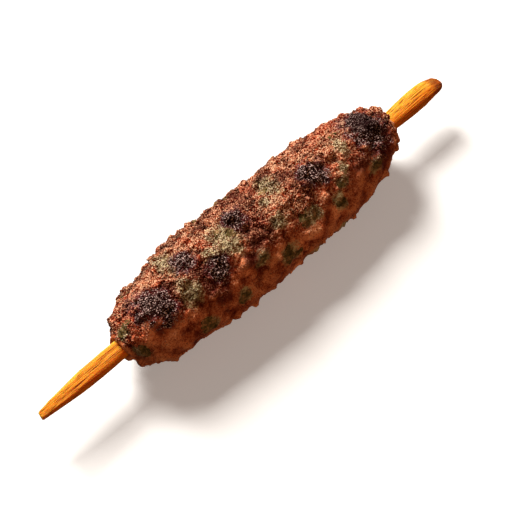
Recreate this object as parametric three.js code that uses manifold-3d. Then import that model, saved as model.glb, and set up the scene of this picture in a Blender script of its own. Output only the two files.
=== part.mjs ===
// A grilled kofta on its skewer: minced meat with chopped herbs, pressed by hand into a log round
// a whittled wooden stick.
//
// Millimetres, +Z up. The skewer lies along X, with its point towards -X and its blunt end
// towards +X. The origin is on the table, under the middle of the skewer.

import * as THREE from "three";
import { MeshSurfaceSampler } from "three/addons/math/MeshSurfaceSampler.js";
import { mergeVertices } from "three/addons/utils/BufferGeometryUtils.js";
import Module from "manifold-3d";

// ---- The skewer: widths are measured across the flat of the stick ----
const SKEWER_LENGTH = 200;
const SKEWER_AXIS_HEIGHT = 16.6; // above the table
const TIP_WIDTH = 3.4; // of the cut end of the point
const TIP_BEVEL = 0.6;
const POINT_LENGTH = 20; // from the cut end to the shoulder
const POINT_CURVE = 7; // how much of that is rounded off into the shoulder
const SHOULDER_WIDTH = 7.0;
const WAIST_WIDTH = 6.6; // just inside the pointed end of the meat
const WAIST_FROM_TIP = 42;
const GRIP_WIDTH = 8.5; // the widest place, near the blunt end
const GRIP_FROM_END = 11;
const BLUNT_END = { inset: 2.75, share: 0.75 }; // how squarely the round end closes
const THICKNESS_SHARE = 0.8; // thickness over width
const SQUARENESS = 2.5; // 2 is an oval section, more is a rectangle with rounder or tighter corners
const SKEWER_SIDES = 20;
const CURVE_STEPS = 5; // points along each curved stretch of its outline

// ---- The meat: a log that is fullest a little past its middle ----
const MEAT_START = -63.5; // the end nearer the point
const MEAT_END = 70.5;
const MEAT_RADIUS = 17.0; // at the fullest place, without its lumps and crumbs
const FULLEST_AT = 4;
const LATE_TAPER = 0.97; // share of that radius that is left halfway to the blunt end's shoulder
// A rounded end begins at its shoulder. Blunt is the share of the shoulder's radius that faces
// straight out, where the meat closes round the stick.
const START_SHOULDER = { inset: 15.5, radius: 15.2, blunt: 0.66 };
const END_SHOULDER = { inset: 17, radius: 14.8, blunt: 0.62 };
const SHOULDER_PULL = { radius: 0.9, inset: 0.4 }; // shares that place the curve's middle handle
const PINCH_SPACING = 17; // finger marks from pressing the log
const PINCH_DEPTH = 0.5;
const BORE_GAP = 0.3; // between the meat and the stick
const LOG_ROWS = 72;
const LOG_SIDES = 62;

// ---- What roughens the meat: lumps as wide as a fingertip, and crumbs of the mince ----
const RELIEF_SEED = 11;
const LUMPS = { tries: 600, spacing: 10, radius: [6, 9], rise: [0.4, 1.1] };
const CRUMBS = { tries: 2600, spacing: 4.4, radius: [2.8, 4.6], rise: [0.5, 1.5] };

// Mounds are larger and each has its own place. Each row: place along X, degrees round the log from
// its top towards -Y, size along X, size round the log, and rise.
const SETTLED_FLANKS = [ // soft meat settles to both sides, below the stick
  [-30, 112, 54, 34, 0.9],
  [14, 112, 82, 34, 1.9],
  [37, 112, 26, 28, 1.1],
  [-22, -112, 70, 34, 1.4],
  [26, -112, 64, 34, 1.6],
];
const CHARRED_LUMPS = [
  [-50, 6, 13, 15, 1.1],
  [-33, -8, 7, 8, 0.7],
  [-25, 27, 10, 7, 0.8],
  [-7, -6, 9, 8, 0.8],
  [-4, 27, 8, 6, 0.6],
  [16, -12, 6, 6, 0.5],
  [24.5, 10, 11, 9, 0.9],
  [55, 2, 15, 22, 1.2],
  [-18, -52, 8, 6, 0.7],
  [-44, 168, 14, 10, 0.8],
  [2, 192, 16, 9, 0.8],
  [38, 160, 12, 9, 0.8],
  [-20, -120, 10, 8, 0.8],
  [30, -100, 9, 9, 0.8],
];

const wasm = await Module();
wasm.setup();

/** The geometry with only its positions, and with shared corners merged. */
function weld(geometry) {
  const bare = geometry.clone();
  bare.deleteAttribute("normal");
  bare.deleteAttribute("uv");
  return mergeVertices(bare, 1e-3);
}

function solidFrom(geometry) {
  const welded = weld(geometry);
  return new wasm.Manifold(
    new wasm.Mesh({
      numProp: 3,
      vertProperties: welded.attributes.position.array,
      triVerts: new Uint32Array(welded.index.array),
    }),
  );
}

function geometryFrom(solid) {
  const { vertProperties, triVerts } = solid.getMesh();
  const geometry = new THREE.BufferGeometry();
  geometry.setAttribute("position", new THREE.BufferAttribute(vertProperties, 3));
  geometry.setIndex(new THREE.BufferAttribute(triVerts, 1));
  geometry.computeVertexNormals();
  return geometry;
}

/** Calls move(point, index) for each vertex and stores the moved point. */
function reshape(geometry, move) {
  const position = geometry.getAttribute("position");
  const point = new THREE.Vector3();
  for (let i = 0; i < position.count; i++) {
    move(point.fromBufferAttribute(position, i), i);
    position.setXYZ(i, point.x, point.y, point.z);
  }
  position.needsUpdate = true;
}

/** Turns an outline of (radius, place along X) points about the X axis. */
function turned(outline, sides) {
  return weld(new THREE.LatheGeometry(outline, sides).rotateZ(-Math.PI / 2));
}

/** Half of the stick's outline, from its cut point to its round end, grown by a gap all round. */
function skewerOutline(gap) {
  const tipX = -SKEWER_LENGTH / 2;
  const endX = SKEWER_LENGTH / 2;
  const tip = TIP_WIDTH / 2 + gap;
  const shoulder = SHOULDER_WIDTH / 2 + gap;
  const waist = WAIST_WIDTH / 2 + gap;
  const grip = GRIP_WIDTH / 2 + gap;
  const shoulderX = tipX + POINT_LENGTH;
  const gripX = endX - GRIP_FROM_END;
  const outline = new THREE.Path();
  outline.moveTo(0, tipX - gap);
  outline.lineTo(tip - TIP_BEVEL, tipX - gap);
  outline.lineTo(tip, tipX + TIP_BEVEL);
  outline.quadraticCurveTo(shoulder, shoulderX - POINT_CURVE, shoulder, shoulderX);
  outline.lineTo(waist, tipX + WAIST_FROM_TIP);
  outline.lineTo(grip, gripX);
  outline.bezierCurveTo(grip, endX - BLUNT_END.inset, grip * BLUNT_END.share, endX + gap, 0, endX + gap);
  return outline.getPoints(CURVE_STEPS);
}

/** The stick: the turned outline, squared and flattened in section as a whittled stick is. */
function skewerGeometry(gap = 0) {
  const stick = turned(skewerOutline(gap), SKEWER_SIDES);
  reshape(stick, (point) => {
    const angle = Math.atan2(point.z, point.y);
    const square = Math.abs(Math.cos(angle)) ** SQUARENESS + Math.abs(Math.sin(angle)) ** SQUARENESS;
    const reach = square ** (-1 / SQUARENESS);
    point.y *= reach;
    point.z *= reach * THICKNESS_SHARE;
  });
  return stick;
}

/** Half of the log's outline: two blunt round ends and a barrel between them. */
function logOutline() {
  const startX = MEAT_START + START_SHOULDER.inset;
  const endX = MEAT_END - END_SHOULDER.inset;
  const outline = new THREE.Path();
  outline.moveTo(0, MEAT_START);
  outline.bezierCurveTo(
    START_SHOULDER.radius * START_SHOULDER.blunt, MEAT_START,
    START_SHOULDER.radius * SHOULDER_PULL.radius, MEAT_START + START_SHOULDER.inset * SHOULDER_PULL.inset,
    START_SHOULDER.radius, startX,
  );
  outline.splineThru([
    new THREE.Vector2(MEAT_RADIUS, (startX + FULLEST_AT) / 2),
    new THREE.Vector2(MEAT_RADIUS, FULLEST_AT),
    new THREE.Vector2(MEAT_RADIUS * LATE_TAPER, (endX + FULLEST_AT) / 2),
    new THREE.Vector2(END_SHOULDER.radius, endX),
  ]);
  outline.bezierCurveTo(
    END_SHOULDER.radius * SHOULDER_PULL.radius, MEAT_END - END_SHOULDER.inset * SHOULDER_PULL.inset,
    END_SHOULDER.radius * END_SHOULDER.blunt, MEAT_END,
    0, MEAT_END,
  );
  return outline;
}

/** Bumps spread over the log at random, none nearer to another than their spacing. */
function scatter(log, { tries, spacing, radius, rise }, random) {
  const sampler = new MeshSurfaceSampler(new THREE.Mesh(log)).setRandomGenerator(random).build();
  const bumps = [];
  for (let i = 0; i < tries; i++) {
    const centre = new THREE.Vector3();
    sampler.sample(centre);
    const size = random();
    if (bumps.some((bump) => bump.centre.distanceTo(centre) < spacing)) continue;
    bumps.push({
      centre,
      radius: THREE.MathUtils.lerp(...radius, size),
      rise: THREE.MathUtils.lerp(...rise, size),
    });
  }
  return bumps;
}

/** How far the highest bump over a point stands out: each is a low round cap. */
function bumpRelief(point, bumps) {
  let relief = 0;
  for (const bump of bumps) {
    const share = point.distanceTo(bump.centre) / bump.radius;
    if (share < 1) relief = Math.max(relief, bump.rise * (1 - share * share));
  }
  return relief;
}

/** How far the mounds raise a point, all together: each is a smooth oval. */
function moundRelief(point, mounds) {
  const around = Math.atan2(-point.y, point.z);
  const reach = Math.hypot(point.y, point.z);
  let relief = 0;
  for (const [along, degrees, length, width, rise] of mounds) {
    const turn = around - THREE.MathUtils.degToRad(degrees);
    const offset = Math.atan2(Math.sin(turn), Math.cos(turn)) * reach;
    const share = Math.hypot((2 * (point.x - along)) / length, (2 * offset) / width);
    if (share < 1) relief += rise * (1 - share * share);
  }
  return relief;
}

/** The bare log, narrower at each finger mark. A slow twist makes its triangles even. */
function pressedLog() {
  const outline = logOutline();
  const log = turned(outline.getSpacedPoints(LOG_ROWS), LOG_SIDES);
  const halfSide = Math.PI / LOG_SIDES;
  const rowLength = outline.getLength() / LOG_ROWS;
  const axis = new THREE.Vector3(1, 0, 0);
  reshape(log, (point) => {
    const mark = (1 - Math.cos((2 * Math.PI * point.x) / PINCH_SPACING)) / 2;
    const squeeze = 1 - (PINCH_DEPTH * mark) / MEAT_RADIUS;
    point.y *= squeeze;
    point.z *= squeeze;
    point.applyAxisAngle(axis, (halfSide * point.x) / rowLength);
  });
  log.computeVertexNormals();
  return log;
}

/** The log with its lumps, crumbs and charred places, pressed flat where it lies on the table. */
function meatSurface() {
  const log = pressedLog();
  THREE.MathUtils.seededRandom(RELIEF_SEED);
  const random = () => THREE.MathUtils.seededRandom();
  const lumps = scatter(log, LUMPS, random);
  const crumbs = scatter(log, CRUMBS, random);
  const outward = new THREE.Vector3();
  reshape(log, (point, i) => {
    outward.fromBufferAttribute(log.getAttribute("normal"), i);
    const bumps = bumpRelief(point, lumps) + bumpRelief(point, crumbs);
    const mounds = moundRelief(point, CHARRED_LUMPS) + moundRelief(point, SETTLED_FLANKS);
    point.addScaledVector(outward, bumps + mounds);
    point.z = Math.max(point.z, -SKEWER_AXIS_HEIGHT);
  });
  return log;
}

function makeSkewer() {
  const wood = new THREE.MeshStandardMaterial({ color: 0xe0973a, roughness: 0.6, metalness: 0 });
  const skewer = new THREE.Mesh(skewerGeometry(), wood);
  skewer.name = "skewer";
  return skewer;
}

function makeMeat() {
  const browned = new THREE.MeshStandardMaterial({ color: 0x8a4f33, roughness: 0.75, metalness: 0 });
  const threaded = solidFrom(meatSurface()).subtract(solidFrom(skewerGeometry(BORE_GAP)));
  const meat = new THREE.Mesh(geometryFrom(threaded), browned);
  meat.name = "meat";
  return meat;
}

const kofta = new THREE.Group();
kofta.add(makeSkewer(), makeMeat());
kofta.position.z = SKEWER_AXIS_HEIGHT;

export default kofta;
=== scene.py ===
# %% [markdown]
# # A grilled kofta on its skewer
#
# A kofta is minced meat with chopped herbs, squeezed by hand round a flat wooden stick and grilled.
# Two things make it look real. One is its surface, which is thousands of crumbs of mince in three
# or four sizes. The other is its colour, which changes every few millimetres: tan where it is only
# browned, red-brown in the cracks, black on the lumps that stood nearest the fire, and green where
# a herb shows. So the crumbs are made as real geometry, and the colour follows them.
#
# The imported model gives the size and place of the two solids, and everything here is fitted to it.

# %% Load the frame
import math
from types import SimpleNamespace

import bpy
import numpy as np
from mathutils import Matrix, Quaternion, Vector


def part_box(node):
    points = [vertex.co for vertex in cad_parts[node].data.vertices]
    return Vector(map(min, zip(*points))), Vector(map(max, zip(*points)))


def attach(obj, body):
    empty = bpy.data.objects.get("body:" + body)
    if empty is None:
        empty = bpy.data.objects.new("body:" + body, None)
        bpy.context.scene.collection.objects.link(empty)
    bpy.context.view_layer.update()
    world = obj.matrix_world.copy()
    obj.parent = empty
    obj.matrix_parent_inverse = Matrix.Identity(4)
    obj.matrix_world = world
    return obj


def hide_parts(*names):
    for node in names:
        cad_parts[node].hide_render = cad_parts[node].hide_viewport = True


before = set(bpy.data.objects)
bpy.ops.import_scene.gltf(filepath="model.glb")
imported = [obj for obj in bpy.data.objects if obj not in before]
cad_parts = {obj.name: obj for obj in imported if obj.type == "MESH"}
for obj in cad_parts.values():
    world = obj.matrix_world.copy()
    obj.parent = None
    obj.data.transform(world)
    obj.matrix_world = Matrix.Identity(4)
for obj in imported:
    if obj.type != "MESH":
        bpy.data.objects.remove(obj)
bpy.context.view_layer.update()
MM = 0.001
print("solids:", sorted(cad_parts))

# %% [markdown]
# ## Where things are
#
# The stick lies along X, and the meat is wrapped round it. A place on the meat is easiest to name
# as a distance along the stick and an angle round it, as on a rolling pin. The height of the
# stick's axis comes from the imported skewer, so nothing here needs changing if the model does.

# %% The axis of the stick and the ends of the meat
stick_low, stick_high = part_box("skewer")
meat_low, meat_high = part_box("meat")
AXIS_HEIGHT = (stick_low.z + stick_high.z) / 2
print(f"axis {AXIS_HEIGHT / MM:.1f} mm up, meat from {meat_low.x / MM:.0f} to {meat_high.x / MM:.0f} mm")


def place_on_log(along_mm, degrees, reach_mm):
    """A point round the stick's axis: degrees count from the top towards -Y."""
    turn = math.radians(degrees)
    across, up = -math.sin(turn) * reach_mm * MM, math.cos(turn) * reach_mm * MM
    return Vector((along_mm * MM, across, AXIS_HEIGHT + up))


# %% [markdown]
# ## The camera
#
# The camera looks down steeply over the pointed end, with the stick running from one lower corner
# of the picture to the opposite upper one. A long lens keeps the two ends nearly the same size.
# It is placed first, so that every later step can be judged through it.

# %% Place the camera
CAMERA_AZIMUTH = -44.548
CAMERA_ELEVATION = 60.0
CAMERA_DISTANCE = 0.43162
CAMERA_AIM = Vector((-5.63 * MM, -6.35 * MM, AXIS_HEIGHT))


def direction(azimuth, elevation):
    """A unit vector at so many degrees round from -Y towards +X and so many up."""
    turn, rise = math.radians(azimuth), math.radians(elevation)
    return Vector((math.sin(turn) * math.cos(rise), -math.cos(turn) * math.cos(rise), math.sin(rise)))


bpy.ops.object.camera_add()
camera = bpy.context.object
camera.name = "camera"
camera.data.lens = 85
camera.data.sensor_width = 36
towards_camera = direction(CAMERA_AZIMUTH, CAMERA_ELEVATION)
camera.location = CAMERA_AIM + towards_camera * CAMERA_DISTANCE
camera.rotation_euler = towards_camera.to_track_quat("Z", "Y").to_euler()
camera.data.clip_end = 10
bpy.context.scene.camera = camera
print("camera at", [round(value, 3) for value in camera.location])

# %% [markdown]
# ## Helpers
#
# Operators act on whatever is selected, so each step begins with only its own object selected. A
# node tree is easier to read when each node is one call, with its inputs named.


# %% Small helpers for objects and modifiers
def pick(obj):
    """Makes obj the only selected object, and the active one."""
    if bpy.context.object and bpy.context.object.mode != "OBJECT":
        bpy.ops.object.mode_set(mode="OBJECT")
    bpy.ops.object.select_all(action="DESELECT")
    obj.select_set(True)
    bpy.context.view_layer.objects.active = obj


def edit_all(obj):
    """Opens obj for editing, with all of it selected."""
    pick(obj)
    bpy.ops.object.mode_set(mode="EDIT")
    bpy.ops.mesh.select_all(action="SELECT")


def modify(obj, kind, **settings):
    """Adds one modifier, sets it and applies it."""
    pick(obj)
    modifier = obj.modifiers.new(kind.lower(), kind)
    for name, value in settings.items():
        setattr(modifier, name, value)
    bpy.ops.object.modifier_apply(modifier=modifier.name)


def duplicate(obj, name):
    """A copy with its own mesh and without its parent or the frame's marks."""
    copy = obj.copy()
    copy.data = obj.data.copy()
    copy.name = copy.data.name = name
    copy.parent = None
    for key in list(copy.keys()):
        del copy[key]
    bpy.context.scene.collection.objects.link(copy)
    return copy


def shade_smooth(obj):
    """Shades obj as if its faces met in curves."""
    pick(obj)
    bpy.ops.object.shade_smooth()


# %% Small helpers for vertices
def vertices_of(obj):
    """The vertex places of obj as an array, in metres."""
    places = np.empty(len(obj.data.vertices) * 3, np.float32)
    obj.data.vertices.foreach_get("co", places)
    return places.reshape(-1, 3).astype(float)


def store(obj, name, values):
    """Keeps one number for each vertex under a name that a material can read."""
    attribute = obj.data.attributes.get(name) or obj.data.attributes.new(name, "FLOAT", "POINT")
    attribute.data.foreach_set("value", np.asarray(values, np.float32))


def rest_on_table(obj):
    """Lifts whatever lies below the table up to it, and gives the new places."""
    places = vertices_of(obj)
    places[:, 2] = np.maximum(places[:, 2], 0)
    obj.data.vertices.foreach_set("co", places.ravel())
    return places


def report(obj):
    """Prints the size of a piece and how many triangles it has."""
    triangles = sum(len(face.vertices) - 2 for face in obj.data.polygons)
    low, high = vertices_of(obj).min(0) / MM, vertices_of(obj).max(0) / MM
    print(f"{obj.name}: {triangles} triangles, {np.round(high - low, 1)} mm, lowest {low[2]:.2f}")


# %% Small helpers for node trees
def add(tree, kind, inputs=None, **settings):
    """Adds a node. An input is given by name or number, as a value or as another node's socket."""
    node = tree.nodes.new(kind)
    for name, value in settings.items():
        setattr(node, name, value)
    for name, value in (inputs or {}).items():
        socket = node.inputs[name]
        if isinstance(value, bpy.types.NodeSocket):
            tree.links.new(value, socket)
        else:
            socket.default_value = value
    return node


def result(tree, kind, inputs=None, **settings):
    """Adds a node and gives its first output."""
    return add(tree, kind, inputs, **settings).outputs[0]


def sums(tree, operation, first, second=0.0, third=0.0):
    """One step of arithmetic, as a socket."""
    return result(tree, "ShaderNodeMath", {0: first, 1: second, 2: third}, operation=operation)


def scaled(tree, value, factor, plus=0.0):
    """A value times a factor, plus another value."""
    return sums(tree, "MULTIPLY_ADD", value, factor, plus)


def vector_sums(tree, operation, inputs):
    """One step of arithmetic with vectors, as a socket."""
    return result(tree, "ShaderNodeVectorMath", inputs, operation=operation)


def geometry_group(name):
    """An empty group of geometry nodes, and the geometry that goes in to it as a socket."""
    tree = bpy.data.node_groups.new(name, "GeometryNodeTree")
    for way in ("INPUT", "OUTPUT"):
        tree.interface.new_socket("Geometry", in_out=way, socket_type="NodeSocketGeometry")
    return tree, result(tree, "NodeGroupInput")


def stored(tree, name):
    """A number that store() kept, for geometry nodes."""
    return result(tree, "GeometryNodeInputNamedAttribute", {"Name": name}, data_type="FLOAT")


# %% [markdown]
# ## The core of the meat
#
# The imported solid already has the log's form, its finger marks and its largest lumps, but its
# facets are 2 mm wide. A copy is merged, rebuilt with even small faces and smoothed, which gives
# soft lumps with no facets. What comes on top will add about a millimetre, so the core is first
# drawn in by as much. The wall of the bore goes the other way, in to the stick: mince is squeezed
# on wet and grips the wood.

# %% Merge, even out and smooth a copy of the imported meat
CORE_CELL = 0.8 * MM
CRUMB_ALLOWANCE = 0.95 * MM
BORE_SQUEEZE = 0.45 * MM
BORE_REACH = 5.4 * MM  # anything nearer the axis than this is the wall of the bore

core = duplicate(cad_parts["meat"], "core")
edit_all(core)
bpy.ops.mesh.remove_doubles(threshold=0.01 * MM)
bpy.ops.object.mode_set(mode="OBJECT")
modify(core, "REMESH", mode="VOXEL", voxel_size=CORE_CELL)
modify(core, "SMOOTH", factor=0.5, iterations=8)


def off_axis(places):
    """Distance of each place from the stick's axis."""
    return np.hypot(places[:, 1], places[:, 2] - AXIS_HEIGHT)


def angle_round(places):
    """Angle of each place round the stick's axis, in radians from the top towards -Y."""
    return np.arctan2(-places[:, 1], places[:, 2] - AXIS_HEIGHT)


def press(obj, amount, chosen):
    """Moves the chosen vertices along their normals, out by a positive amount."""
    pick(obj)
    bpy.ops.object.mode_set(mode="EDIT")
    bpy.ops.mesh.select_mode(type="VERT")
    bpy.ops.mesh.select_all(action="DESELECT")
    bpy.ops.object.mode_set(mode="OBJECT")
    obj.data.vertices.foreach_set("select", np.asarray(chosen, bool))
    bpy.ops.object.mode_set(mode="EDIT")
    bpy.ops.transform.shrink_fatten(value=amount)
    bpy.ops.object.mode_set(mode="OBJECT")


in_bore = off_axis(vertices_of(core)) < BORE_REACH
press(core, -CRUMB_ALLOWANCE, ~in_bore)
press(core, BORE_SQUEEZE, in_bore)
report(core)

# %% [markdown]
# ## The side that faced the fire
#
# A kofta browns unevenly. The side that faced the coals is dry and crumbly. The other side is still
# moist, and its mince lies smooth as the hand pressed it. One number says which is which, and both
# the crumbs and the colours read it. It could be painted by hand, but two angles round the log say
# the same in one line. Three waves of different lengths make the edge that shows on top wander,
# because heat doesn't stop along a ruled line.

# %% How dry the meat is round the log
CRUST_FROM, CRUST_TO = -140, 36  # degrees round the log that faced the fire
CRUST_FADE = 22  # degrees over which one side turns into the other
# How the edge wanders: degrees, length of a wave and place of a peak, both in millimetres.
CRUST_WANDERS = [(7, 19, -5), (8, 47, 14), (6, 120, 25)]
MOIST_CRUMBS = 0.35  # crumbs on the moist side, as a share of those on the dry one


def crust_of(places):
    """How dry the meat is at each place: 1 where it faced the fire and 0 where it is moist."""
    degrees = np.degrees(angle_round(places))
    edge = CRUST_TO
    for swing, wave, peak in CRUST_WANDERS:
        edge = edge + swing * np.cos((places[:, 0] / MM - peak) * math.tau / wave)
    inside = np.minimum(degrees - CRUST_FROM, edge - degrees) / CRUST_FADE
    crust = np.clip(inside, -1, 1) * 0.5 + 0.5
    crust[off_axis(places) < BORE_REACH] = 0
    return crust


crust = crust_of(vertices_of(core))
store(core, "share", ~in_bore * (MOIST_CRUMBS + (1 - MOIST_CRUMBS) * crust))
print("dry share of the skin:", round(float((crust > 0.5).mean()), 2))

# %% [markdown]
# ## Crumbs of mince
#
# Each crumb is a squashed pebble. It starts as a low icosphere whose corners are shaken out of
# place. Geometry Nodes spreads copies over the core, never closer than a set spacing, sinks each
# one part of the way in, and turns and sizes it at random. Spreading them by a rule is the only
# sane way to place thousands of them, and the instances are realized so that they become true
# mesh. Every copy also carries one random number, its tint. The skin loses it, but the grains of
# crust, which are spread in the same way, are coloured by theirs.


# %% Model one crumb
def shaken(name, amount, outward, seed, stretch):
    """The ball that was just added, with its corners shaken out of place, and then stretched."""
    ball = bpy.context.object
    ball.name = name
    edit_all(ball)
    bpy.ops.transform.vertex_random(offset=amount, uniform=0.0, normal=outward, seed=seed)
    bpy.ops.transform.resize(value=stretch, center_override=(0, 0, 0))
    bpy.ops.object.mode_set(mode="OBJECT")
    return ball


bpy.ops.mesh.primitive_ico_sphere_add(subdivisions=2, radius=1)
crumb = shaken("crumb", amount=0.26, outward=0.4, seed=4, stretch=(1.0, 0.8, 0.62))
print("corners of a crumb:", len(crumb.data.vertices))


# %% A node group that spreads crumbs over a surface
TRIES = 2.0  # points tried in each square as wide as the spacing, before the too near ones go
LEAN = 0.5  # radians, the most that a copy leans off the surface


def random_between(tree, low, high, seed):
    """A random number for each copy, as a socket."""
    numbers = {2: low, 3: high, "Seed": seed}
    return add(tree, "FunctionNodeRandomValue", numbers, data_type="FLOAT").outputs[1]


def scatter(surface, stone, spacing, radius, spread, sink, seed, tints=(0.0, 1.0)):
    """Copies of a stone all over a surface, as one new object.

    Radius is the mean, spread the share it varies by and sink how deep each is set, as a share of
    its radius. Each copy draws its tint between the two given. The surface's own "share" says how
    much of it is covered.
    """
    tree, ground = geometry_group("scatter")
    points = add(
        tree,
        "GeometryNodeDistributePointsOnFaces",
        {
            "Mesh": ground,
            "Distance Min": spacing,
            "Density Max": TRIES / spacing**2,
            "Density Factor": stored(tree, "share"),
            "Seed": seed,
        },
        distribute_method="POISSON",
    ).outputs
    size = random_between(tree, radius * (1 - spread), radius * (1 + spread), seed + 1)
    turns = {0: (-LEAN, -LEAN, 0), 1: (LEAN, LEAN, math.tau), "Seed": seed + 2}
    twist = result(tree, "FunctionNodeRandomValue", turns, data_type="FLOAT_VECTOR")
    placing = {
        "Points": points["Points"],
        "Instance": add(tree, "GeometryNodeObjectInfo", {"Object": stone}).outputs["Geometry"],
        "Rotation": points["Rotation"],
        "Scale": size,
    }
    inward = result(tree, "ShaderNodeCombineXYZ", {"Z": scaled(tree, size, -sink)})
    copies = result(tree, "GeometryNodeInstanceOnPoints", placing)
    turning = {"Instances": copies, "Rotation": twist}
    copies = result(tree, "GeometryNodeRotateInstances", turning)
    sinking = {"Instances": copies, "Translation": inward}
    copies = result(tree, "GeometryNodeTranslateInstances", sinking)
    tinting = {"Geometry": copies, "Name": "tint", "Value": random_between(tree, *tints, seed + 3)}
    copies = result(
        tree, "GeometryNodeStoreNamedAttribute", tinting, data_type="FLOAT", domain="INSTANCE"
    )
    real = result(tree, "GeometryNodeRealizeInstances", {"Geometry": copies})
    add(tree, "NodeGroupOutput", {0: real})
    layer = duplicate(surface, stone.name + "s")
    modify(layer, "NODES", node_group=tree)
    return layer


# %% Spread large and middling crumbs
CRUMB_SIZES = [
    # spacing, radius, spread, how deep each is sunk and seed
    (4.4 * MM, 2.1 * MM, 0.35, 0.66, 10),
    (2.3 * MM, 1.05 * MM, 0.45, 0.45, 20),
]
mince = duplicate(core, "mince")
for spacing, radius, spread, sink, seed in CRUMB_SIZES:
    layer = scatter(core, crumb, spacing, radius, spread, sink, seed)
    report(layer)
    pick(mince)
    layer.select_set(True)
    bpy.ops.object.join()
report(mince)

# %% [markdown]
# ## One closed skin
#
# Thousands of overlapping pebbles aren't one thing. A voxel remesh wraps them all in a single
# closed skin and fills what lies inside, just as crumbs stick to each other. A light smoothing
# melts them together, and then the skin is roughened: a field of cells, bent by a slow noise so
# that none is round, gives torn bits of mince with clefts between them, and noise breaks those up.
# The moist side gets less of this relief, and is smoothed once more.

# %% Wrap the crumbs in one skin
SKIN_CELL = 0.45 * MM

kofta = duplicate(mince, "kofta")
modify(kofta, "REMESH", mode="VOXEL", voxel_size=SKIN_CELL)
modify(kofta, "SMOOTH", factor=0.5, iterations=4)
report(kofta)

# %% Relief for the skin
BEND_SIZE, BEND_REACH = 6.0, 4.0  # the slow noise and how far it bends the cells, in millimetres
TORN_BITS = [(5.4, 0.95), (2.4, 0.45)]  # size of the cells and their height, in millimetres
BROKEN = [(1.1, 0.36)]  # size of the noise and its height, in millimetres
CELL_MIDDLE, CELL_SWING = 0.45, 1.6  # mean distance inside a cell, and what turns it into a height
NOISE_MIDDLE, NOISE_SWING = 0.5, 3  # the same for noise
MOIST_RELIEF = 0.65  # relief on the moist side, as a share of that on the dry one


def relief_tree():
    """Geometry nodes that move a surface along its normals by cells and noise."""
    tree, skin = geometry_group("relief")
    place = result(tree, "GeometryNodeInputPosition")
    here = vector_sums(tree, "SCALE", {0: place, "Scale": 1 / MM})
    slow = add(tree, "ShaderNodeTexNoise", {"Vector": here, "Scale": 1 / BEND_SIZE, "Detail": 2})
    centred = vector_sums(tree, "SUBTRACT", {0: slow.outputs["Color"], 1: (NOISE_MIDDLE,) * 3})
    bend = vector_sums(tree, "SCALE", {0: centred, "Scale": 2 * BEND_REACH})
    bent = vector_sums(tree, "ADD", {0: here, 1: bend})
    height = 0.0
    for size, depth in TORN_BITS:
        cells = add(tree, "ShaderNodeTexVoronoi", {"Vector": bent, "Scale": 1 / size})
        dome = sums(tree, "SUBTRACT", CELL_MIDDLE, cells.outputs["Distance"])
        height = scaled(tree, dome, depth * CELL_SWING, height)
    for size, depth in BROKEN:
        rough = add(tree, "ShaderNodeTexNoise", {"Vector": here, "Scale": 1 / size, "Detail": 3})
        break_up = sums(tree, "SUBTRACT", rough.outputs["Fac"], NOISE_MIDDLE)
        height = scaled(tree, break_up, depth * NOISE_SWING, height)
    relief_share = scaled(tree, stored(tree, "crust"), 1 - MOIST_RELIEF, MOIST_RELIEF)
    height = scaled(tree, height, relief_share)
    outwards = result(tree, "GeometryNodeInputNormal")
    offset = vector_sums(tree, "SCALE", {0: outwards, "Scale": scaled(tree, height, MM)})
    moved = result(tree, "GeometryNodeSetPosition", {"Geometry": skin, "Offset": offset})
    add(tree, "NodeGroupOutput", {0: moved})
    return tree


# %% Roughen the skin
MOIST_PASSES = 4  # passes of smoothing where the mince is moist
WEIGHTS = 10  # steps of weight in the vertex group, from dry to moist

crust = crust_of(vertices_of(kofta))
store(kofta, "crust", crust)
modify(kofta, "NODES", node_group=relief_tree())
moist_group = kofta.vertex_groups.new(name="moist")
for step in range(1, WEIGHTS + 1):
    chosen = np.flatnonzero(np.round((1 - crust) * WEIGHTS) == step)
    moist_group.add(chosen.tolist(), step / WEIGHTS, "REPLACE")
modify(kofta, "SMOOTH", factor=0.5, iterations=MOIST_PASSES, vertex_group="moist")
report(kofta)

# %% Thin out the skin and lay it on the table
MOST_TRIANGLES = 194_000

triangle_count = sum(len(face.vertices) - 2 for face in kofta.data.polygons)
modify(kofta, "DECIMATE", ratio=min(1, MOST_TRIANGLES / triangle_count))
places = rest_on_table(kofta)
report(kofta)

# %% [markdown]
# ## What each point of the skin knows
#
# The finish needs to know a few things at each point of the skin, and an attribute keeps each one.
# Rise and lump are how far the point stands out from a slightly and from a strongly smoothed copy
# of the skin: clefts stay red and moist while tops brown, and they also carry painted shade in the
# clefts and folds and painted light on the tops. Char, soot, haze, singe, red, green and pale say how
# near it is to a place of that kind, worked out from short lists. Crust says how dry it is, and one
# more number says how much painted shade darkens the dry side low down on the far side. All this could
# be painted, but lists are easier to read and to change, and they need no unwrapping.

# %% How far each point stands out
even = duplicate(kofta, "even")
for name, passes in (("rise", 30), ("lump", 170)):
    modify(even, "SMOOTH", factor=0.5, iterations=passes)
    normals = np.empty(len(even.data.vertices) * 3, np.float32)
    even.data.vertex_normals.foreach_get("vector", normals)
    stands_out = ((places - vertices_of(even)) * normals.reshape(-1, 3)).sum(1) / MM
    stands_out -= np.median(stands_out)
    store(kofta, name, stands_out)
    print(name, "mm:", np.round(np.percentile(stands_out, (2, 25, 50, 75, 98)), 2))
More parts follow.
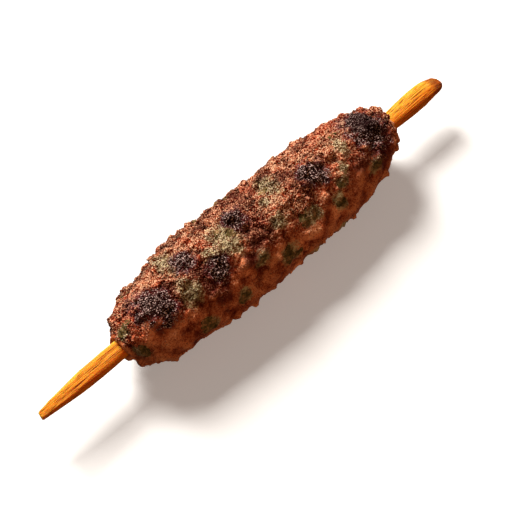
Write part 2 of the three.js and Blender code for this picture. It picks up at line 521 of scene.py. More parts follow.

# %% Name the places that differ from the rest
# Each row: along the stick, degrees round it, length, width (all but the degrees in millimetres).
# Char is burnt black, and soot is char with no ash on it. Haze is a film of smoke, and singe is
# scorched, but its rows from 40 to 55 degrees round, on the moist side, are painted shade. Red is
# browned less, green has herbs under the skin and pale has dried juice on it.
PLACES = {
    "char": [
        (-50.5, 5, 10, 11), (-48, 18, 10, 11), (-32, -11, 8, 8), (-24, 27, 9, 8), (-22.5, 22, 5, 6),
        (-7.5, -9, 7.5, 8), (24, 7, 9, 8), (27, 16, 9, 7.5), (55.5, 5, 14, 21), (-44, 168, 14, 11),
        (2, 192, 16, 10), (38, 160, 12, 9), (-20, -120, 10, 9), (30, -100, 10, 10), (62, -140, 8, 8),
    ],
    "soot": [(56, 2, 14, 20)],
    "haze": [
        (-52, -10, 10, 12), (-6, -20, 7, 8), (50, -22, 9, 7), (-30, -16, 7, 7), (31, 9, 5, 9),
    ],
    # The rows from 40 to 55 degrees round, on the moist side, are painted shade, not scorch.
    "singe": [
        (-5, 19, 13, 19), (-33, 6, 7, 9), (-29, 25, 6, 9), (19.5, 16, 8, 11), (17, -12, 7, 7),
        (13, -38, 6, 6), (-18, -36, 6, 6), (32, 3, 6, 6), (60, 26, 9, 8), (33, -40, 9, 7),
        (-1, -32, 11, 13), (-8, -50, 12, 9), (-42, 8, 5, 9), (-54, -28, 6, 5), (-13, 42, 8, 6),
        (-28, 55, 7, 7), (-31, 42, 6, 5), (45, 40, 9, 8), (54, 46, 11, 15),
    ],
    "red": [
        (-59, -22, 14, 18), (-61, 14, 10, 12), (-43, 5, 6, 9), (-28, 11, 6, 6), (-2.5, 13, 5, 5),
        (13, 0, 7, 6), (61, -38, 10, 10), (30, 18, 6, 7), (6, -38, 10, 6), (48, -38, 12, 6),
    ],
    "green": [
        (-35.5, -32, 9, 17), (-15, 3, 13, 17), (-23, 9, 8, 8), (-37, 24, 9, 13), (11, -16, 10, 14),
        (5, 0, 5, 5), (4, 28, 8, 7), (42, 5, 5, 9), (37, 30, 5, 6), (16, 50, 10, 7), (-62, -5, 5, 6),
        (-60.5, 62, 5, 7), (-37, 79, 8, 8), (2, 74, 10, 9), (33.5, 43, 6, 6), (50, 58, 9, 8),
        (29, 62, 7, 9), (-9, 50, 8, 7), (-21, 77, 7, 8),
    ],
    "pale": [
        (41, 2, 14, 28), (44, -10, 9, 12), (24, 31, 9, 7), (36, -22, 12, 10), (28, -30, 8, 8),
        (-12, -32, 12, 8), (-24, -26, 12, 10), (-57, 25, 9, 10), (-54, 42, 11, 10), (-42, 51, 12, 9),
        (-28, -37, 9, 9), (-40, -32, 12, 12), (-48, -22, 10, 8), (12, 12, 8, 7), (15, 24, 8, 8),
        (-16, -6, 12, 14), (36, 27, 10, 9), (-20, 52, 14, 12), (-4, 47, 9, 9), (26, 68, 12, 10),
        (45, -33, 7, 6), (-17, 29, 6, 6), (12, 64, 18, 14),
    ],
}
UNSEEN = [(-180, -75), (100, 180)]  # degrees round the log that these lists leave bare
MORE = {"singe": 5, "red": 6, "green": 7, "pale": 6}  # places to add in each of those

chance = np.random.default_rng(3)
for name, count in MORE.items():
    for degrees_from, degrees_to in UNSEEN:
        for _ in range(count):
            along, degrees = chance.uniform(-58, 64), chance.uniform(degrees_from, degrees_to)
            PLACES[name].append((along, degrees, chance.uniform(6, 13), chance.uniform(5, 10)))
print({name: len(spots) for name, spots in PLACES.items()})


def spot_depth(places, spots):
    """How deep each place lies in a spot: 1 at its middle, 0 at its edge and less outside."""
    reach, around = off_axis(places) / MM, angle_round(places)
    depth = np.full(len(places), -1.0)
    for along, degrees, length, width in spots:
        turn = np.angle(np.exp(1j * (around - math.radians(degrees))))
        share = np.hypot((places[:, 0] / MM - along) / (length / 2), turn * reach / (width / 2))
        depth = np.maximum(depth, 1 - share)
    return depth


for name, spots in PLACES.items():
    store(kofta, name, spot_depth(places, spots))

# %% How dry each point is
FAR_SHADE_FROM, FAR_SHADE_FULL = -40, -90  # degrees round the log over which painted shade darkens the far dry side
MOIST_GRAINS = 0.05  # grains on the moist side, as a share of those on the dry one

crust = crust_of(places)
store(kofta, "crust", crust)
degrees = np.degrees(angle_round(places))
# Painted shade, low on the far dry side.
store(kofta, "roast", np.clip((degrees - FAR_SHADE_FROM) / (FAR_SHADE_FULL - FAR_SHADE_FROM), 0, 1) * crust)
grain_share = MOIST_GRAINS + (1 - MOIST_GRAINS) * crust
store(kofta, "share", np.where(off_axis(places) < BORE_REACH, 0, grain_share))
print("mean share of grains:", round(float(grain_share.mean()), 2))

# %% [markdown]
# ## Grains of crust
#
# Where the meat has dried, its surface breaks up into grains under a millimetre across, some pale
# with dried juice and some burnt. They are what makes the browned side sparkle. The skin itself
# would need many times its faces to show them, so they are copies of one grain that sit on it, as
# pieces of their own. There are over eleven thousand of each kind, so the grain is only a ball of
# sixteen triangles, shaken and drawn out to a shred.

# %% Model one grain
bpy.ops.mesh.primitive_uv_sphere_add(segments=4, ring_count=3, radius=1.1)
grain = shaken("grain", amount=0.40, outward=0.3, seed=7, stretch=(1.45, 0.65, 0.55))
print("corners of a grain:", len(grain.data.vertices))

# %% Spread the grains
GRAIN_SPREAD, GRAIN_SINK = 0.5, 0.15
GRAIN_KINDS = [
    # name, spacing, mean radius, range of tints and seed
    ("pale_grains", 0.60 * MM, 0.31 * MM, (0.6, 1.0), 50),
    ("brown_grains", 0.62 * MM, 0.33 * MM, (0.3, 0.6), 60),
    ("burnt_grains", 0.62 * MM, 0.30 * MM, (0.0, 0.3), 70),
]
SKIN_TINT = 0.5  # the skin between the grains is neither pale nor burnt

grains = []
for name, spacing, radius, tints, seed in GRAIN_KINDS:
    kind = scatter(kofta, grain, spacing, radius, GRAIN_SPREAD, GRAIN_SINK, seed, tints)
    kind.name = name
    rest_on_table(kind)
    shade_smooth(kind)
    report(kind)
    grains.append(kind)
store(kofta, "tint", np.full(len(kofta.data.vertices), SKIN_TINT))
shade_smooth(kofta)

# %% Remove the loose crumbs
for helper in (core, mince, crumb, grain, even):
    bpy.data.objects.remove(helper)

# %% [markdown]
# ## The finish of the meat
#
# Grilled mince has no one colour. Where it is moist it is a warm brown with darker folds, and both
# are partly painted: the moist side is made lighter and warmer, as warm light thrown back from below,
# and its folds darker, as painted shade. Where it dried, the tops are tan and the clefts red-brown,
# partly as painted light and shade, with pale specks of dried juice and dark ones of burnt crumb. Low
# on the far dry side, painted shade darkens it. Herbs show through as olive stains, and what stood
# nearest the fire is scorched dark red, and then black with ash. Some dark red places are painted
# shade, and the pale specks on the char are partly painted glints. A picture wrapped round the log
# would stretch at the ends. So the colour is built up as heat makes it, with painted light and shade
# mixed in: first a ramp from red to tan that follows the browning, and then stains, specks and char,
# each over a share of what is there. Noise tears the edge of every share, because nothing on a grill
# has a clean outline.


# %% Small helpers for colour
def ramp(tree, value, stops):
    """A smooth run of colours. Each stop is a position and a colour or a grey."""
    node = add(tree, "ShaderNodeValToRGB", {"Fac": value})
    node.color_ramp.interpolation = "EASE"
    elements = node.color_ramp.elements
    while len(elements) < len(stops):
        elements.new(0.5)
    for element, (position, colour) in zip(elements, stops):
        element.position = position
        element.color = (*colour, 1) if isinstance(colour, tuple) else (colour, colour, colour, 1)
    return node.outputs["Color"]


def noise(tree, coordinates, size, detail=3.0, roughness=0.6):
    """Noise whose features have the given size in metres, as a number round 0.5."""
    return add(
        tree,
        "ShaderNodeTexNoise",
        {"Vector": coordinates, "Scale": 1 / size, "Detail": detail, "Roughness": roughness},
    ).outputs["Fac"]


def blend(tree, share, first, second, mode="MIX"):
    """Puts a share of the second colour over the first, or multiplies it in."""
    node = add(tree, "ShaderNodeMix", data_type="RGBA", blend_type=mode)
    for socket, value in ((node.inputs[0], share), (node.inputs[6], first), (node.inputs[7], second)):
        if isinstance(value, bpy.types.NodeSocket):
            tree.links.new(value, socket)
        elif isinstance(value, tuple):
            socket.default_value = (*value, 1)
        else:
            socket.default_value = value
    return node.outputs[2]


def attribute(tree, name):
    """A number that the mesh keeps at each point."""
    return add(tree, "ShaderNodeAttribute", attribute_name=name).outputs["Fac"]


# %% Small helpers for materials
def new_material(name):
    """An empty material, its node tree and where each point is on the object, as a socket."""
    material = bpy.data.materials.new(name)
    material.use_nodes = True
    tree = material.node_tree
    tree.nodes.clear()
    return material, tree, add(tree, "ShaderNodeTexCoord").outputs["Object"]


def bumps(tree, height, depth):
    """Relief too fine to model, as a normal: a height from 0 to 1 and the depth of all of it."""
    return result(tree, "ShaderNodeBump", {"Height": height, "Strength": 1.0, "Distance": depth})


def shade(tree, inputs):
    """Ends a material with one Principled shader."""
    shader = result(tree, "ShaderNodeBsdfPrincipled", inputs)
    add(tree, "ShaderNodeOutputMaterial", {"Surface": shader})


def coat(obj, material):
    """Gives obj one material in place of any it has."""
    obj.data.materials.clear()
    obj.data.materials.append(material)


# %% What more than one layer of colour reads
MOIST_BROWN = 0.47  # the browning that the moist side keeps near
MOIST_SWING = 0.65  # how far it strays from that, as a share of what the dry side does
OUTSIDE = -0.5  # outside a place its depth counts as no less than this


def near(tree, name):
    """How deep each point lies in a place of one kind: 1 at its middle and 0 at its edge."""
    return sums(tree, "MAXIMUM", attribute(tree, name), OUTSIDE)


def torn(tree, skin, depth, edge, dither, threshold):
    """A depth torn by noise of two sizes, less a threshold that keeps it out elsewhere."""
    rough = scaled(tree, skin.edge, edge, depth)
    rough = scaled(tree, skin.dither, dither, rough)
    return sums(tree, "SUBTRACT", rough, threshold)


def read_skin(tree, here):
    """The numbers, noises and shares that more than one layer of colour reads."""
    skin = SimpleNamespace(here=here)
    for name in ("crust", "tint", "rise", "lump", "roast"):
        setattr(skin, name, attribute(tree, name))
    skin.moist = sums(tree, "SUBTRACT", 1.0, skin.crust)
    skin.steady = scaled(tree, skin.crust, 1 - MOIST_SWING, MOIST_SWING)
    skin.fine = noise(tree, here, 0.54 * MM, 1.0, 0.5)
    skin.dither = sums(tree, "SUBTRACT", skin.fine, 0.5)
    skin.edge = noise(tree, here, 2.6 * MM, 4.0, 0.7)
    skin.pale = sums(tree, "SUBTRACT", near(tree, "pale"), OUTSIDE)
    skin.singe = near(tree, "singe")
    patches = noise(tree, here, 4.5 * MM, 4.0, 0.65)
    skin.redness = scaled(tree, near(tree, "red"), 0.15, patches)
    green = torn(tree, skin, attribute(tree, "green"), edge=1.6, dither=0.8, threshold=0.60)
    skin.green_share = ramp(tree, green, [(0.10, 0.0), (0.70, 0.88)])
    # Scorched places, some of which are painted shade.
    scorch = scaled(tree, skin.singe, 0.9)
    scorch = torn(tree, skin, scorch, edge=1.5, dither=1.2, threshold=0.55)
    skin.scorch_share = ramp(tree, scorch, [(0.05, 0.0), (0.60, 0.85)])
    return skin


# %% How browned each point is
def browning_of(tree, skin):
    """From about 0.3, where the meat is red and moist, to 0.7, where it is tan and dry."""
    browning = scaled(tree, noise(tree, skin.here, 6 * MM, 4.0, 0.6), 0.9)
    # What changes the browning, and how strongly. Rise and lump make tops lighter and clefts darker,
    # partly as browning and partly as painted light and shade.
    pulls = [(skin.rise, 0.07), (skin.lump, 0.08), (skin.pale, 0.07)]
    # The far-side number darkens the browning as painted shade. Singe darkens it as scorch and, in some
    # places, as painted shade.
    pulls += [(skin.singe, -0.10), (skin.roast, -0.12)]
    for value, strength in pulls:
        browning = scaled(tree, value, strength, browning)
    strayed = sums(tree, "SUBTRACT", browning, MOIST_BROWN)
    return scaled(tree, strayed, skin.steady, MOIST_BROWN)


# %% Browned meat
MEAT_COLOURS = [
    (0.28, (0.055, 0.008, 0.004)),
    (0.39, (0.170, 0.028, 0.010)),
    (0.48, (0.380, 0.105, 0.042)),
    (0.56, (0.600, 0.220, 0.100)),
    (0.70, (0.760, 0.385, 0.205)),
]
UNCHANGED = (1.0, 1.0, 1.0)  # multiplied in, it leaves a colour as it was
# Painted light: the moist side, which lies in shade, is made lighter and warmer as warm light thrown back
# from below. The edge between the sides is made darker as painted shade, and the dry side is toned down.
PAINTED_SIDE_LIGHT = [(0.0, (1.1, 1.0, 0.86)), (0.45, (0.82, 0.62, 0.52)), (1.0, (0.82, 0.80, 0.78))]


def browned(tree, skin):
    """Meat from red to tan by its browning, and toned by what else each point knows."""
    meat = ramp(tree, skin.browning, MEAT_COLOURS)
    height = scaled(tree, skin.rise, 0.5, 0.5)
    # Clefts darker red-brown: partly mince that browned less, partly painted shade in the clefts.
    cleft_red_and_shade = ramp(tree, height, [(0.20, (0.42, 0.13, 0.05)), (0.46, UNCHANGED)])
    # Painted light and shade, by how dry the side is.
    painted_side_light = ramp(tree, skin.crust, PAINTED_SIDE_LIGHT)
    # Painted shade, deeper low on the far dry side.
    far_side_shade_share = scaled(tree, skin.roast, 0.7)
    lumps = ramp(tree, skin.pale, [(0.5, UNCHANGED), (1.0, (1.40, 1.50, 1.60))])
    # Painted shade in the broad folds of the moist side, darker where the skin lies low.
    broad_height = scaled(tree, skin.lump, 0.5, 0.5)
    painted_fold_shade = ramp(tree, broad_height, [(0.22, (0.50, 0.34, 0.28)), (0.52, (1.06, 1.06, 1.06))])
    ruddy = ramp(tree, skin.redness, [(0.30, (1.10, 1.04, 1.0)), (0.56, (1.06, 0.47, 0.33))])
    tones = [
        # how much of each tone is multiplied in
        (skin.steady, cleft_red_and_shade),
        (1.0, painted_side_light),
        (far_side_shade_share, (0.62, 0.52, 0.46)),
        (skin.moist, lumps),
        (skin.moist, painted_fold_shade),
        (skin.crust, ruddy),
    ]
    for share, tone in tones:
        meat = blend(tree, share, meat, tone, "MULTIPLY")
    return meat


# %% Stains of herbs, scorch and smoke
HERB_COLOURS = [(0.35, (0.098, 0.086, 0.026)), (0.50, (0.270, 0.232, 0.108)), (0.65, (0.520, 0.450, 0.230))]
# Dark red of scorch, and of painted shade where a singe place stands for shade.
SCORCH_AND_SHADE_RED = (0.105, 0.016, 0.010)
SMOKED = (0.290, 0.135, 0.130)


def stained(tree, skin, meat):
    """Herbs under the skin, then dark red scorched places, some of them painted shade, then a purple haze
    of smoke.
    """
    leafy = scaled(tree, skin.pale, 0.10, noise(tree, skin.here, 3 * MM))
    meat = blend(tree, skin.green_share, meat, ramp(tree, leafy, HERB_COLOURS))
    meat = blend(tree, skin.scorch_share, meat, SCORCH_AND_SHADE_RED)
    haze = torn(tree, skin, attribute(tree, "haze"), edge=1.2, dither=2.4, threshold=0.55)
    return blend(tree, ramp(tree, haze, [(0.0, 0.0), (0.60, 0.75)]), meat, SMOKED)


# %% Pale and burnt specks
BURNT = (0.26, 0.034, 0.007)  # multiplied in
PALE, PALE_ON_RED, PALE_ON_GREEN = (0.88, 0.52, 0.31), (0.75, 0.31, 0.17), (0.66, 0.56, 0.36)


def specked(tree, skin, meat):
    """Burnt crumbs and crumbs pale with dried juice. Grains go by their tint, the skin by noise."""
    dark_specks = ramp(tree, skin.fine, [(0.40, BURNT), (0.47, UNCHANGED)])
    meat = blend(tree, scaled(tree, skin.crust, 0.5, 0.5), meat, dark_specks, "MULTIPLY")

    red_share = ramp(tree, skin.redness, [(0.42, 0.0), (0.62, 1.0)])
    crumb = blend(tree, sums(tree, "MAXIMUM", red_share, skin.scorch_share), PALE, PALE_ON_RED)
    crumb = blend(tree, scaled(tree, skin.green_share, 0.9), crumb, PALE_ON_GREEN)
    dryness = ramp(tree, skin.browning, [(0.36, 0.3), (0.54, 1.0)])
    dryness = scaled(tree, dryness, scaled(tree, skin.crust, 0.8, 0.2))
    pale_specks = ramp(tree, skin.fine, [(0.55, 0.0), (0.61, 0.95)])
    pale_grains = ramp(tree, skin.tint, [(0.60, 0.0), (0.75, 0.90)])
    for share in (pale_specks, pale_grains):
        meat = blend(tree, scaled(tree, share, dryness), meat, crumb)

    burnt_grains = ramp(tree, skin.tint, [(0.28, BURNT), (0.36, UNCHANGED)])
    return blend(tree, skin.crust, meat, burnt_grains, "MULTIPLY")


# %% Char
CHAR_EDGE = (0.100, 0.018, 0.022)
CHAR_BLACK, ASH_AND_GLINT = (0.020, 0.004, 0.003), (0.650, 0.430, 0.375)
SOOT = (0.020, 0.006, 0.006)


def charred(tree, skin, meat):
    """Black char with a purple-red edge and pale specks of ash and painted glints, but none where there is
    soot.
    """
    ragged = noise(tree, skin.here, 4.2 * MM, 3.0, 0.6)
    depth = scaled(tree, ragged, 2.3, attribute(tree, "char"))
    burn = torn(tree, skin, depth, edge=0.8, dither=1.1, threshold=1.32)
    edge_share = ramp(tree, sums(tree, "ADD", burn, 0.15), [(0.0, 0.0), (0.45, 0.85)])
    meat = blend(tree, edge_share, meat, CHAR_EDGE)
    # Pale specks on the char: partly ash, partly painted glints.
    specks = scaled(tree, sums(tree, "SUBTRACT", skin.tint, SKIN_TINT), 0.35, skin.fine)
    ash_and_glints = ramp(tree, specks, [(0.565, CHAR_BLACK), (0.665, ASH_AND_GLINT)])
    ash_and_glints = blend(tree, sums(tree, "MAXIMUM", attribute(tree, "soot"), 0.0), ash_and_glints, SOOT)
    return blend(tree, ramp(tree, burn, [(0.20, 0.0), (0.44, 1.0)]), meat, ash_and_glints)


# %% Grilled mince
def grilled_mince():
    """All the layers of colour, on a shader that shines a little where there is fat."""
    material, tree, here = new_material("grilled_mince")
    skin = read_skin(tree, here)
    skin.browning = browning_of(tree, skin)
    meat = browned(tree, skin)
    for layer in (stained, specked, charred):
        meat = layer(tree, skin, meat)
    fat = ramp(tree, noise(tree, here, 1.8 * MM), [(0.55, 0.02), (0.70, 0.30)])
    shade(
        tree,
        {
            "Base Color": meat,
            "Roughness": 0.4,
            "Normal": bumps(tree, noise(tree, here, 0.75 * MM, 4.0, 0.8), 0.26 * MM),
            "Specular IOR Level": fat,
            "Specular Tint": (1.0, 0.75, 0.55, 1),
            "IOR": 1.46,
        },
    )
    print("nodes in", material.name, len(tree.nodes))
    return material


mince_finish = grilled_mince()
for piece in (kofta, *grains):
    coat(piece, mince_finish)
    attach(piece, "root")
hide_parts("meat")

# %% [markdown]
# ## Chopped herbs
#
# The green in a kofta is parsley chopped with a knife: bits of leaf 3 to 8 mm long, stuck to the
# surface or just under it. A bit could be sculpted in its place, but there are over forty. So each
# is a small grid with a torn outline. It is laid over its place, wrapped down on to the crumbs
# with a shrinkwrap and given the thickness of a leaf.

# %% Model three bits of leaf
CLOSES = 0.92  # how nearly the outline closes at the ends
NOTCH_DEPTH, NOTCH_RATE = 0.25, 9


def leaf_bit(name, seed, width):
    """A torn scrap of leaf 1 long, lying flat at the origin."""
    bpy.ops.mesh.primitive_grid_add(x_subdivisions=16, y_subdivisions=10, size=1)
    bit = bpy.context.object
    bit.name = name
    edit_all(bit)
    bpy.ops.transform.resize(value=(1, width, 1))
    bpy.ops.transform.vertex_random(offset=0.02, seed=seed)
    bpy.ops.object.mode_set(mode="OBJECT")
    for vertex in bit.data.vertices:
        along = vertex.co.x * 2
        rounded = math.sqrt(max(1 - along * along * CLOSES, 0.02))
        notched = 1 + NOTCH_DEPTH * math.sin(NOTCH_RATE * along + seed)
        vertex.co.y *= rounded * notched
    return bit


bits = [leaf_bit("bit", 1, 0.55), leaf_bit("bit", 2, 0.38), leaf_bit("bit", 3, 0.7)]

# %% Name the places of the leaves
# Each row: along the stick, degrees round it, length in millimetres and how far it is turned.
LEAVES = [
    (-60.5, -8, 5.5, 75), (-60, 62, 6.5, 10), (-37.5, 79, 7.5, 20), (-34.5, -38, 4.0, 60),
    (-16, -9, 4.5, 130), (-12.5, 2, 4.0, 20), (-21, 78, 6.0, 110), (8, -14, 5.0, 100),
    (12.5, 50, 5.5, 10), (17, 49, 5.0, 150), (33, 45, 5.0, 95), (50, 58, 5.0, 70), (1, 72, 7.0, 160),
    (4, 78, 6.0, 100), (-9, 51, 4.0, 120), (29, 64, 5.0, 80), (44, -18, 3.5, 40),
]
HIDDEN_LEAVES = 26
FAR_SIDE = (-180, -60)  # degrees round the log that face away from the camera

chance = np.random.default_rng(5)
for _ in range(HIDDEN_LEAVES):
    along, degrees = chance.uniform(-58, 62), chance.uniform(*FAR_SIDE)
    LEAVES.append((along, degrees, chance.uniform(3, 6.5), chance.uniform(0, 180)))
print("leaves:", len(LEAVES))

# %% Lay the leaves on the meat
LEAF_REACH = 22.5  # millimetres from the axis, just clear of the crumbs
LEAF_LIFT = 0.12 * MM
LEAF_THICKNESS = 0.20 * MM
END_CLOSES = 12.0  # millimetres at each rounded end where the leaves start nearer the axis
LEAST_OPEN = 0.3  # keeps a leaf at the very end clear of the meat

laid = []
for number, (along, degrees, length, turn) in enumerate(LEAVES):
    leaf = duplicate(bits[number % len(bits)], "leaf")
    open_share = min(along - meat_low.x / MM, meat_high.x / MM - along) / END_CLOSES
    reach = LEAF_REACH * math.sqrt(min(1, max(LEAST_OPEN, open_share)))
    leaf.scale = (length * MM,) * 3
    leaf.location = place_on_log(along, degrees, reach)
    outward = leaf.location - Vector((along * MM, 0, AXIS_HEIGHT))
    leaf.rotation_mode = "QUATERNION"
    spin = Quaternion((0, 0, 1), math.radians(turn))
    leaf.rotation_quaternion = outward.to_track_quat("Z", "X") @ spin
    laid.append(leaf)
for leaf in laid:
    modify(
        leaf,
        "SHRINKWRAP",
        target=kofta,
        wrap_method="PROJECT",
        use_project_z=True,
        use_negative_direction=True,
        use_positive_direction=False,
        wrap_mode="ABOVE_SURFACE",
        offset=LEAF_LIFT,
    )
    modify(leaf, "SHRINKWRAP", target=kofta, wrap_mode="ABOVE_SURFACE", offset=LEAF_LIFT)

# %% Join the leaves and thicken them
for leaf in laid:
    leaf.select_set(True)
bpy.context.view_layer.objects.active = laid[0]
bpy.ops.object.transform_apply(location=True, rotation=True, scale=True)
bpy.ops.object.join()
herbs = bpy.context.object
herbs.name = "herbs"
modify(herbs, "SMOOTH", factor=0.5, iterations=1)
modify(herbs, "SOLIDIFY", thickness=LEAF_THICKNESS, offset=0.0)
shade_smooth(herbs)
report(herbs)
for helper in bits:
    bpy.data.objects.remove(helper)

# %% [markdown]
# ## The finish of the leaf
#
# Heat turns a chopped leaf from bright green to dark olive, and to brown where it dries out. One
# flat green would look like paper, so noise half a leaf wide picks from both colours, a finer
# noise speckles them, and a bump stands for creases too small to model.


# %% Cooked leaf
LEAF_COLOURS = [(0.36, (0.062, 0.040, 0.012)), (0.50, (0.135, 0.090, 0.026)), (0.62, (0.270, 0.140, 0.058))]


def cooked_leaf():
    """Olive to brown, speckled and nearly without shine."""
    material, tree, here = new_material("cooked_leaf")
    green = ramp(tree, noise(tree, here, 2.5 * MM, 4.0, 0.7), LEAF_COLOURS)
    speckle = ramp(tree, noise(tree, here, 0.8 * MM), [(0.36, 0.6), (0.64, 1.4)])
    shade(
        tree,
        {
            "Base Color": blend(tree, 1.0, green, speckle, "MULTIPLY"),
            "Roughness": 0.6,
            "Specular IOR Level": 0.06,
            "Normal": bumps(tree, noise(tree, here, 0.6 * MM), 0.3 * MM),
        },
    )
    return material


coat(herbs, cooked_leaf())
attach(herbs, "root")

# %% [markdown]
# ## The whittled stick
#
# A kofta skewer is a flat stick with rounded corners, cut at a slant to a blunt point and rounded
# at the other end, where it is widest. It could be a stretched cylinder, but the width changes all
# along it. So it is drawn out of one ring, like pulling toffee: the ring is extruded a millimetre
# at a time and resized at each step to the width there. A displacement by noise that is drawn out
# forty times along the stick then cuts the grain.

# %% Width of the stick along its length
STICK_START = stick_low.x
STICK_END = stick_high.x
STATIONS = [
    # distance from the point, half the width and how far the middle lies to +Y, in millimetres
    (0.0, 1.35, 0.0), (0.5, 1.62, 0.0), (1.5, 1.76, 0.0), (4.0, 2.00, 0.0), (8.0, 2.36, 0.0),
    (12.0, 2.74, 0.0), (16.0, 3.05, 0.0), (20.0, 3.26, 0.0), (30.0, 3.38, 0.0), (42.0, 3.28, 0.0),
    (120.0, 3.28, 0.0), (165.0, 3.42, 0.0), (171.0, 3.50, 0.0), (177.0, 3.88, 0.05),
    (182.0, 4.12, 0.10), (189.0, 4.16, 0.12), (192.0, 3.95, 0.10), (194.0, 3.76, 0.05),
    (196.0, 3.50, -0.10), (198.0, 3.06, -0.40), (199.0, 2.45, -0.65), (199.6, 1.95, -0.80),
    (200.0, 1.10, -0.90),
]
RING_SIDES = 96
RING_STEP = 1.0 * MM
FLATNESS = 0.8
SQUARENESS = 2.8  # 2 is an oval section and more is squarer
ROUND_END, ROUND_RINGS = 4.0, 12  # millimetres at the blunt end with closer rings, and how many
POINT_SLANT = 0.5 * MM  # how far the +Y side of the point is cut back
SLANT_FADES = 6 * MM


def width_at(distance):
    """Half the stick's width and the place of its middle at a distance from its point, in metres."""
    steps, *columns = zip(*STATIONS)
    return [float(np.interp(distance / MM, steps, column)) * MM for column in columns]


# %% Draw the stick out of one ring
bpy.ops.mesh.primitive_circle_add(vertices=RING_SIDES, radius=1, fill_type="NGON")
stick = bpy.context.object
stick.name = "stick"
for corner in stick.data.vertices:
    for axis in (0, 1):
        corner.co[axis] = math.copysign(abs(corner.co[axis]) ** (2 / SQUARENESS), corner.co[axis])
edit_all(stick)
bpy.ops.transform.rotate(value=math.pi / 2, orient_axis="Y", center_override=(0, 0, 0))
half, middle = width_at(0)
bpy.ops.transform.resize(value=(1, half, half * FLATNESS), center_override=(0, 0, 0))
bpy.ops.transform.translate(value=(STICK_START, middle, AXIS_HEIGHT))
round_from = STATIONS[-1][0] - ROUND_END
stops = [0.0, 0.25 * MM, 0.5 * MM]
stops += list(np.arange(1 * MM, round_from * MM, RING_STEP))
for ring in range(ROUND_RINGS + 1):
    closer = math.sin(ring * math.pi / (2 * ROUND_RINGS))
    stops.append((round_from + ROUND_END * closer) * MM)
for here, there in zip(stops, stops[1:]):
    next_half, next_middle = width_at(there)
    bpy.ops.mesh.extrude_region_move(
        TRANSFORM_OT_translate={"value": (there - here, next_middle - middle, 0)}
    )
    bpy.ops.transform.resize(
        value=(1, next_half / half, next_half / half),
        center_override=(STICK_START + there, next_middle, AXIS_HEIGHT),
    )
    half, middle = next_half, next_middle
bpy.ops.mesh.select_all(action="SELECT")
bpy.ops.mesh.normals_make_consistent(inside=False)
bpy.ops.object.mode_set(mode="OBJECT")
report(stick)

# %% Slant the point
for corner in stick.data.vertices:
    nearness = max(0, 1 - (corner.co.x - STICK_START) / SLANT_FADES)
    corner.co.x += (corner.co.y / width_at(0)[0] / 2 + 0.5) * POINT_SLANT * nearness

# %% Cut the grain
GRAIN_LEAN = 3  # degrees that the grain runs off the stick's own line
GRAIN_STRETCH = 40
GRAIN_CUTS = [(1.1 * MM, 0.40 * MM), (0.5 * MM, 0.25 * MM)]  # width of the noise and depth

bpy.ops.object.empty_add(location=(0, 0, AXIS_HEIGHT), rotation=(0, 0, math.radians(-GRAIN_LEAN)))
along_grain = bpy.context.object
along_grain.scale = (GRAIN_STRETCH, 1, 1)
modify(stick, "SMOOTH", factor=0.5, iterations=3)
for size, depth in GRAIN_CUTS:
    texture = bpy.data.textures.new("grain", "CLOUDS")
    texture.noise_scale = size
    modify(
        stick,
        "DISPLACE",
        texture=texture,
        texture_coords="OBJECT",
        texture_coords_object=along_grain,
        strength=depth,
        mid_level=0.55,
    )
bpy.data.objects.remove(along_grain)
shade_smooth(stick)
report(stick)

# %% [markdown]
# ## The finish of the wood
#
# The stick is pale wood that fat and heat have turned orange-yellow. Fine dark fibres run along
# it. The edge on the -Y side is painted darker and redder, as shade with warm light thrown back
# into it, and the blunt end is painted darker as shade. It could take a picture of wood, but noise
# drawn out along the grain gives fibres that never repeat. Light goes a little way into wood and
# comes out redder, so some subsurface scattering keeps it from looking painted.

# %% Toasted wood
WOOD_COLOURS = [(0.35, (0.680, 0.260, 0.014)), (0.50, (0.770, 0.390, 0.038)), (0.65, (0.820, 0.460, 0.070))]
FIBRE_SCALE = 0.03  # of the noise along the stick, so that it is drawn out over thirty times
SHADE_EDGE_FADES = 8 * MM  # across the stick, from the edge darkened by painted shade
END_SHADE_REACH = 3 * MM  # painted shade reaches this far in from the blunt end
END_FADES = 8 * MM


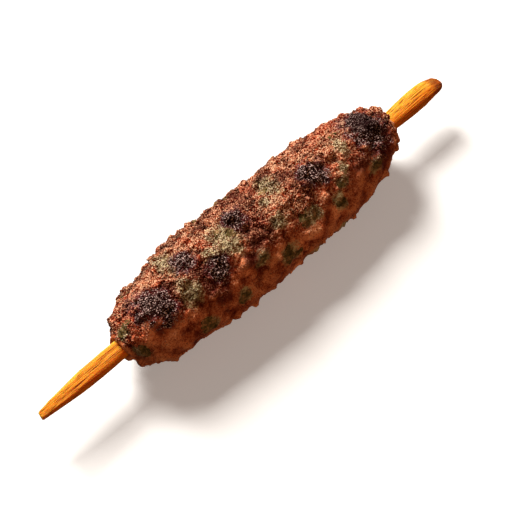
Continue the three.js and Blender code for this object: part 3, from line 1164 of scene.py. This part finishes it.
def toasted_wood():
    """Orange-yellow wood with dark fibres, and painted shade along one edge and at the blunt end."""
    material, tree, here = new_material("toasted_wood")
    lean = (0, 0, math.radians(GRAIN_LEAN))
    drawing = {"Vector": here, "Rotation": lean, "Scale": (FIBRE_SCALE, 1, 1)}
    drawn_out = result(tree, "ShaderNodeMapping", drawing)
    tone = ramp(tree, noise(tree, drawn_out, 2.2 * MM), WOOD_COLOURS)
    fibres = noise(tree, drawn_out, 0.34 * MM, 2.0, 0.5)
    lines = ramp(tree, fibres, [(0.36, (0.38, 0.17, 0.06)), (0.46, UNCHANGED)])
    colour = blend(tree, 1.0, tone, lines, "MULTIPLY")
    apart = add(tree, "ShaderNodeSeparateXYZ", {"Vector": here})
    # Painted shade with warm bounce light: darker and redder towards the -Y edge, which turns from the
    # lamp.
    across = scaled(tree, apart.outputs["Y"], 1 / SHADE_EDGE_FADES, 0.5)
    painted_edge_shade = ramp(tree, across, [(0.05, (1.0, 0.50, 0.20)), (0.75, UNCHANGED)])
    colour = blend(tree, 1.0, colour, painted_edge_shade, "MULTIPLY")
    # Painted shade: darker towards the blunt end.
    ragged = noise(tree, drawn_out, 1.5 * MM)
    ragged = scaled(tree, ragged, END_FADES, apart.outputs["X"])
    past = sums(tree, "SUBTRACT", ragged, STICK_END - END_SHADE_REACH)
    end_shade_share = ramp(tree, scaled(tree, past, 1 / END_FADES), [(0.0, 0.0), (0.45, 0.85)])
    colour = blend(tree, end_shade_share, colour, (0.300, 0.060, 0.010))
    shade(
        tree,
        {
            "Base Color": colour,
            "Roughness": 0.6,
            "Specular IOR Level": 0.08,
            "Normal": bumps(tree, fibres, 0.45 * MM),
            "Subsurface Weight": 0.6,
            "Subsurface Radius": (1.0, 0.35, 0.05),
            "Subsurface Scale": 2.5 * MM,
        },
    )
    return material


coat(stick, toasted_wood())
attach(stick, "root")
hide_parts("skewer")

# %% [markdown]
# ## The table and the light
#
# A plain pale floor and one large soft lamp from behind and to the left, as from a window, with a
# weak warm one low down opposite. The lamp alone would leave the far floor grey, so the floor
# glows, and more so far from the middle. Light from it would fill the shadows that show the
# crumbs, so it is kept off the meat.


# %% Floor
def pale_floor():
    """Nearly white, and glowing more with its distance from the middle."""
    material, tree, here = new_material("pale_floor")
    distance = add(tree, "ShaderNodeVectorMath", {0: here}, operation="LENGTH").outputs["Value"]
    shade(
        tree,
        {
            "Base Color": (0.86, 0.85, 0.84, 1),
            "Roughness": 0.9,
            "Emission Color": (1.0, 0.97, 0.94, 1),
            "Emission Strength": ramp(tree, distance, [(0.20, 0.24), (0.60, 1.0)]),
        },
    )
    return material


bpy.ops.mesh.primitive_plane_add(size=6)
floor = bpy.context.object
floor.name = "floor"
coat(floor, pale_floor())
floor.visible_diffuse = False
floor.visible_glossy = False


# %% Lamps
def lamp(name, azimuth, elevation, distance, size, power, colour):
    """A square soft light that looks at the middle of the meat."""
    bpy.ops.object.light_add(type="AREA")
    light = bpy.context.object
    light.name = name
    light.data.size = size
    light.data.energy = power
    light.data.color = colour
    back = direction(azimuth, elevation)
    light.location = Vector((0, 0, AXIS_HEIGHT)) + back * distance
    light.rotation_euler = back.to_track_quat("Z", "Y").to_euler()
    print(name, "lamp at", [round(value, 2) for value in light.location])


lamp("key", 176, 44, distance=1.0, size=0.42, power=20.8, colour=(1.0, 0.97, 0.93))
lamp("fill", 0, 25, distance=1.2, size=0.9, power=3.1, colour=(1.0, 0.46, 0.17))
world = bpy.data.worlds.new("studio")
world.use_nodes = True
background = world.node_tree.nodes["Background"]
background.inputs["Color"].default_value = (1.0, 0.86, 0.74, 1)
background.inputs["Strength"].default_value = 0.08
bpy.context.scene.world = world
bpy.context.scene.view_settings.view_transform = "Standard"
